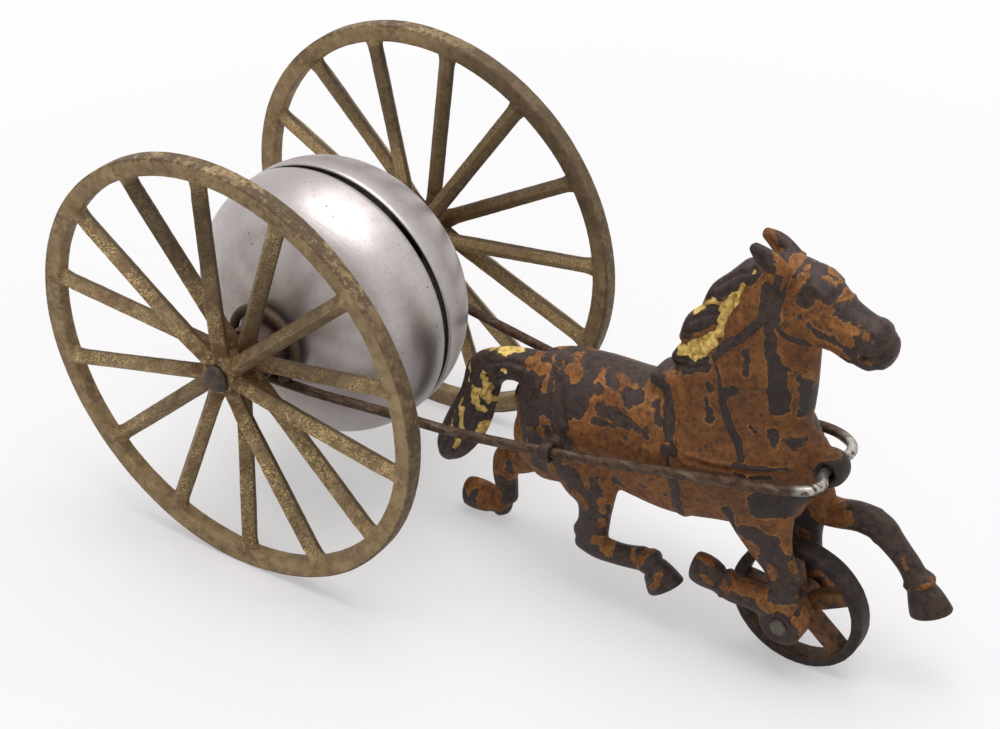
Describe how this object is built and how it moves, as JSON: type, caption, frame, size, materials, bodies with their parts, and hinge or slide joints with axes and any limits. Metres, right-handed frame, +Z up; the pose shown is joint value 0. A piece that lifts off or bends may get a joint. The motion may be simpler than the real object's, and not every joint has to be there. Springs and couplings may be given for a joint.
{
  "type": "cast iron horse bell toy",
  "caption": "Cast iron pull toy: a running horse of riveted halves, on a small front wheel, draws facing gongs with swinging strikers between large spoked wheels.",
  "frame": {"origin": "the middle of the toy's bounding box, on the floor that its wheels stand on", "axes": "+X the way the horse heads, along the toy's length; +Y the horse's left side; +Z up"},
  "size_m": [0.2008, 0.0832, 0.1016],
  "materials": {
    "wheel_paint": "cast iron under worn gold bronze paint",
    "horse_paint": "cast iron under worn orange-brown and black paint",
    "gong_plate": "thin steel, satin nickel plate with light spotting",
    "dark_steel": "darkened steel with peened heads",
    "wire_steel": "rusted steel wire, worn bright at the chest",
    "dark_iron": "bare dark cast iron",
    "front_wheel_iron": "dark cast iron with worn orange-brown paint on the spokes"
  },
  "bodies": {
    "horse": {"horse_right_half": "horse_paint", "horse_left_half": "horse_paint", "body_rivet": "dark_steel", "tail_rivet": "dark_steel", "front_axle": "dark_steel", "shaft_wire": "wire_steel"},
    "wheels": {"road_wheel_right": "wheel_paint", "road_wheel_left": "wheel_paint", "main_axle": "dark_steel", "bell_right": "gong_plate", "bell_left": "gong_plate", "sleeve_right": "dark_steel", "sleeve_left": "dark_steel", "striker_carrier": "dark_iron", "striker_pin_a": "dark_steel", "striker_pin_b": "dark_steel", "striker_pin_c": "dark_steel"},
    "front_wheel_body": {"front_wheel": "front_wheel_iron"},
    "striker_a_body": {"striker_a": "dark_iron"},
    "striker_b_body": {"striker_b": "dark_iron"},
    "striker_c_body": {"striker_c": "dark_iron"}
  },
  "joints": [
    {"name": "axle_spin", "type": "hinge", "parent": "horse", "child": "wheels", "pos_m": [-0.0496, 0, 0.0508], "axis": [0, 1, 0], "continuous": true},
    {"name": "front_wheel_spin", "type": "hinge", "parent": "horse", "child": "front_wheel_body", "pos_m": [0.0706, 0, 0.015], "axis": [0, 1, 0], "continuous": true},
    {"name": "striker_a_swing", "type": "hinge", "parent": "wheels", "child": "striker_a_body", "pos_m": [-0.0496, 0, 0.0378], "axis": [0, 1, 0], "range_deg": [-4.9, 81.8]},
    {"name": "striker_b_swing", "type": "hinge", "parent": "wheels", "child": "striker_b_body", "pos_m": [-0.06086, 0, 0.0573], "axis": [0, 1, 0], "range_deg": [-4.9, 81.8]},
    {"name": "striker_c_swing", "type": "hinge", "parent": "wheels", "child": "striker_c_body", "pos_m": [-0.03834, 0, 0.0573], "axis": [0, 1, 0], "range_deg": [-86.8, 0]}
  ]
}
